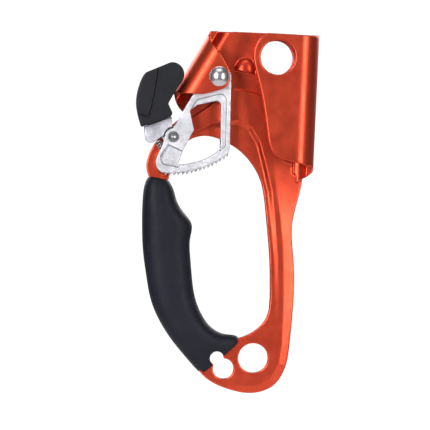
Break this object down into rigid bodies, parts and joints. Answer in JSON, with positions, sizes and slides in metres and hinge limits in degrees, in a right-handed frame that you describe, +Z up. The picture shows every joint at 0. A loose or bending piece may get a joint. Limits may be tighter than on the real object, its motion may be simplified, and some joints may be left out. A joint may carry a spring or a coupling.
{
  "type": "hand ascender",
  "caption": "Hand ascender: a folded metal frame with a moulded grip, a rope channel, and a toothed cam on a rivet with a sprung catch and thumb pad.",
  "frame": {"origin": "centre of the large lower attachment hole, at the middle of the sheet's thickness", "axes": "+Z up the handle towards the rope channel's top, +Y from the front face to the back along the attachment holes, +X towards the rope channel"},
  "size_m": [0.0968, 0.0318, 0.1935],
  "materials": {
    "anodised_sheet": "satin orange anodised",
    "grip_rubber": "matte moulded",
    "cam_metal": "satin cast and tumbled",
    "lever_metal": "satin cast",
    "rivet_steel": "polished",
    "pin_steel": "dark satin",
    "spring_steel": "drawn wire",
    "bush_metal": "turned",
    "washer_plastic": "smooth",
    "pad_plastic": "fine grain"
  },
  "bodies": {
    "frame_body": {"frame": "anodised_sheet", "grip": "grip_rubber", "cam_rivet": "rivet_steel", "cam_washer_front": "washer_plastic", "cam_washer_rear": "washer_plastic", "cam_spring": "spring_steel"},
    "cam_body": {"cam": "cam_metal", "cam_bush": "bush_metal", "catch_pin": "pin_steel", "catch_washer": "pin_steel", "catch_spring": "spring_steel"},
    "catch_body": {"catch_lever": "lever_metal", "thumb_pad": "pad_plastic"}
  },
  "joints": [
    {"name": "cam_pivot", "type": "hinge", "parent": "frame_body", "child": "cam_body", "pos_m": [-0.0223, 0, 0.1502], "axis": [0, -1, 0], "range_deg": [0, 66], "deforming": ["cam_spring"]},
    {"name": "catch_pivot", "type": "hinge", "parent": "cam_body", "child": "catch_body", "pos_m": [-0.0457, 0, 0.1179], "axis": [0, -1, 0], "range_deg": [0, 14], "stiffness_Nm_per_rad": 0.05, "springref_deg": -11.46, "deforming": ["catch_spring"]}
  ]
}
